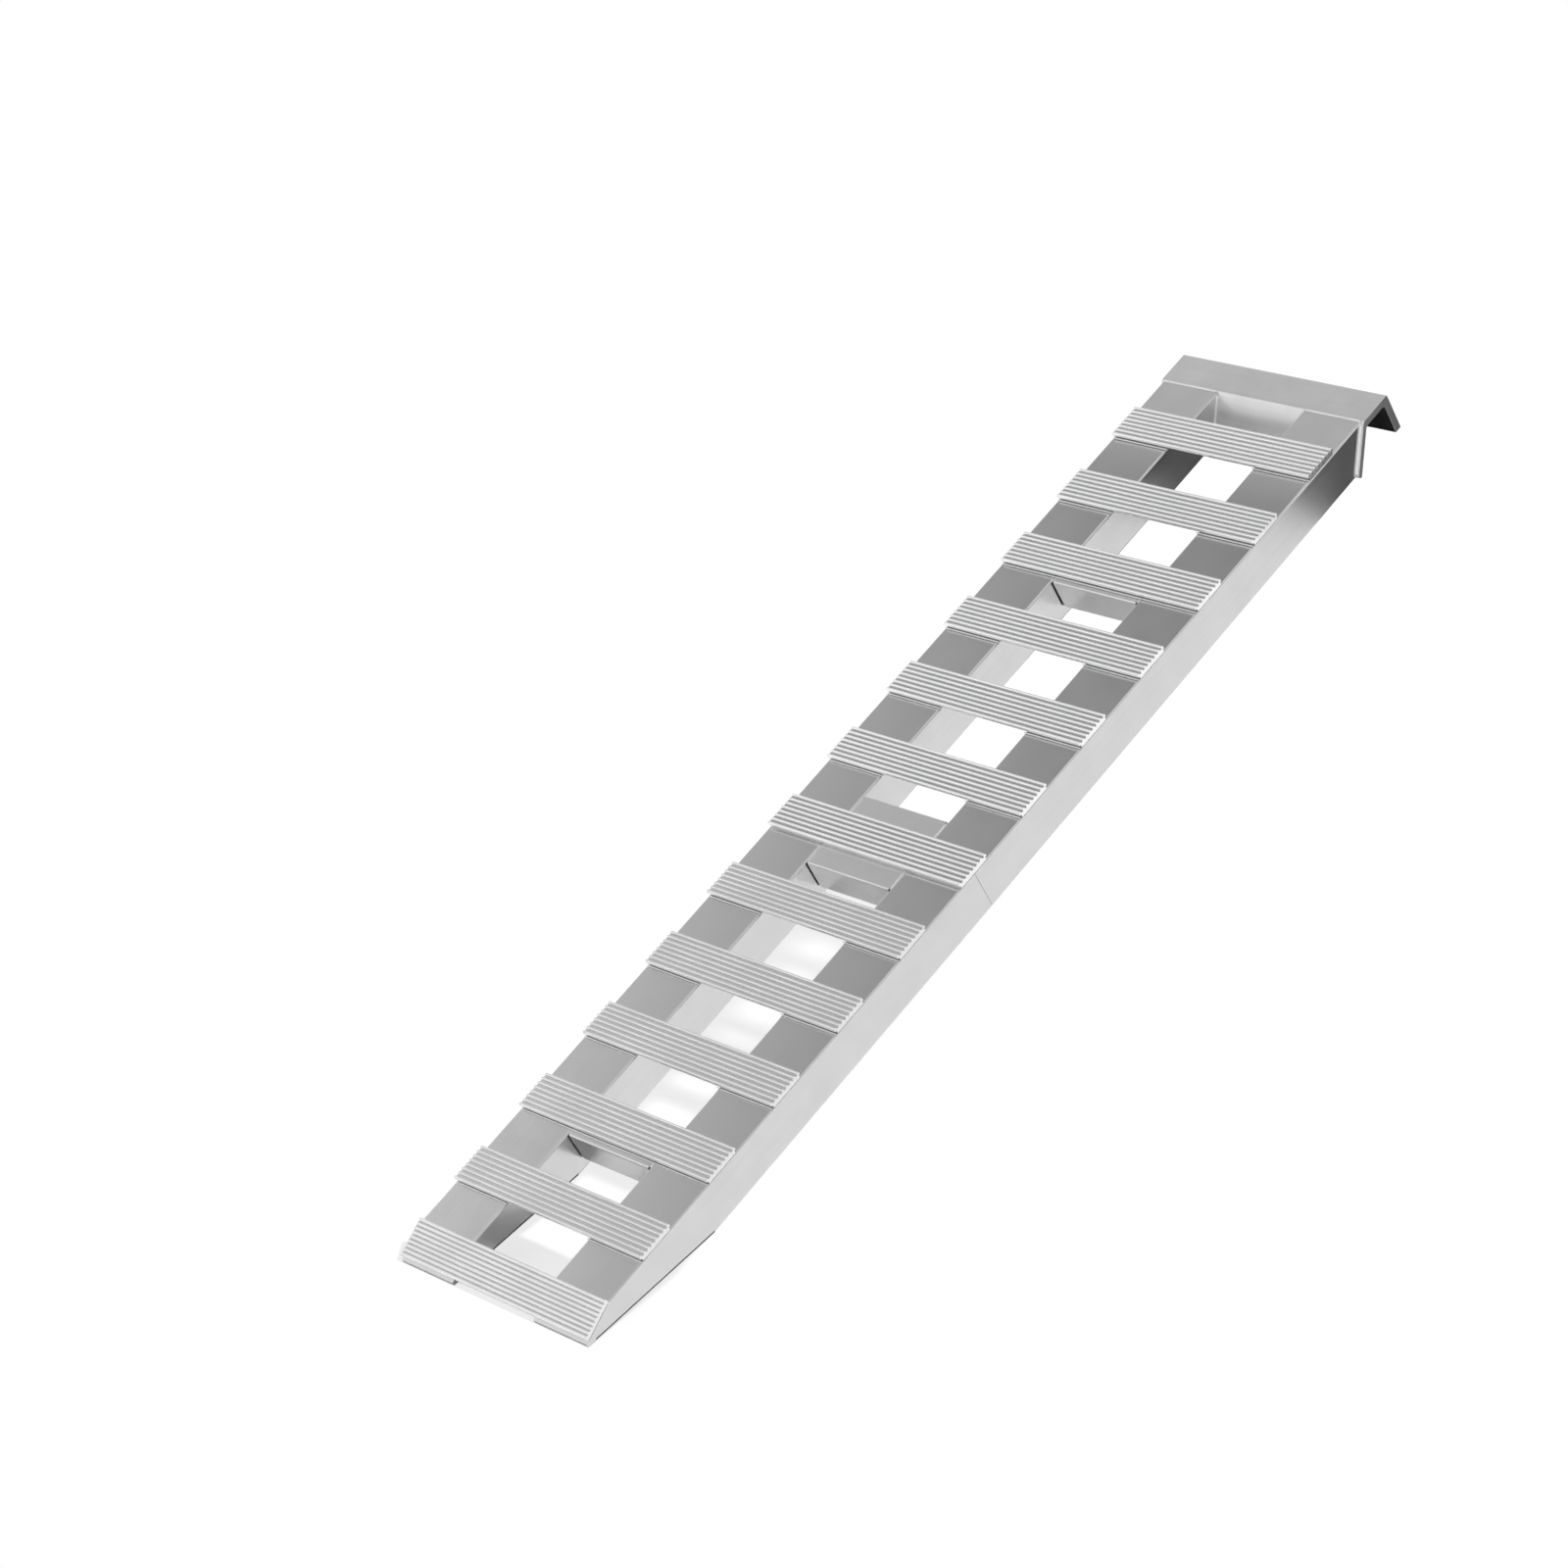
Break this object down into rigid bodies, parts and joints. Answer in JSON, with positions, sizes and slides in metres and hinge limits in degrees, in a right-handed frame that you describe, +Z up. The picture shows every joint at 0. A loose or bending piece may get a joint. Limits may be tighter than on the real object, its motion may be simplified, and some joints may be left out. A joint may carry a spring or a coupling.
{
  "type": "folding loading ramp",
  "caption": "Aluminium loading ramp with box rails, ridged rungs, a hook plate for a tailgate and a sloping foot, folding at mid-length on a butt hinge.",
  "frame": {"origin": "centre of the footprint, at the level of the hinge's underside", "axes": "+Y up the ramp from the foot to the hook, +X across it, +Z up out of the deck, with the ramp unfolded and its deck level"},
  "size_m": [0.387, 1.807, 0.0785],
  "materials": {
    "rail_aluminium": "satin mill finish",
    "tread_aluminium": "bright extruded",
    "hinge_steel": "zinc plated",
    "pad_rubber": "matt moulded"
  },
  "bodies": {
    "upper_half": {"upper_rail_left": "rail_aluminium", "upper_rail_right": "rail_aluminium", "hook_plate": "rail_aluminium", "rung_01": "tread_aluminium", "rung_02": "tread_aluminium", "rung_03": "tread_aluminium", "rung_04": "tread_aluminium", "rung_05": "tread_aluminium", "rung_06": "tread_aluminium", "rung_07": "tread_aluminium", "upper_cross_tube": "rail_aluminium", "upper_fold_tube": "rail_aluminium", "hinge_leaf_upper": "hinge_steel", "hinge_pin": "hinge_steel", "hinge_screw_upper_1": "hinge_steel", "hinge_screw_upper_2": "hinge_steel", "hinge_screw_upper_3": "hinge_steel", "hinge_screw_upper_4": "hinge_steel"},
    "lower_half": {"lower_rail_left": "rail_aluminium", "lower_rail_right": "rail_aluminium", "rung_08": "tread_aluminium", "rung_09": "tread_aluminium", "rung_10": "tread_aluminium", "rung_11": "tread_aluminium", "rung_12": "tread_aluminium", "foot_tread": "tread_aluminium", "lower_cross_tube": "rail_aluminium", "lower_fold_tube": "rail_aluminium", "hinge_leaf_lower": "hinge_steel", "hinge_screw_lower_1": "hinge_steel", "hinge_screw_lower_2": "hinge_steel", "hinge_screw_lower_3": "hinge_steel", "hinge_screw_lower_4": "hinge_steel", "foot_pad_left": "pad_rubber", "foot_pad_right": "pad_rubber"}
  },
  "joints": [
    {"name": "fold", "type": "hinge", "parent": "upper_half", "child": "lower_half", "pos_m": [0, -0.0675, 0.0045], "axis": [1, 0, 0], "range_deg": [0, 180]}
  ]
}
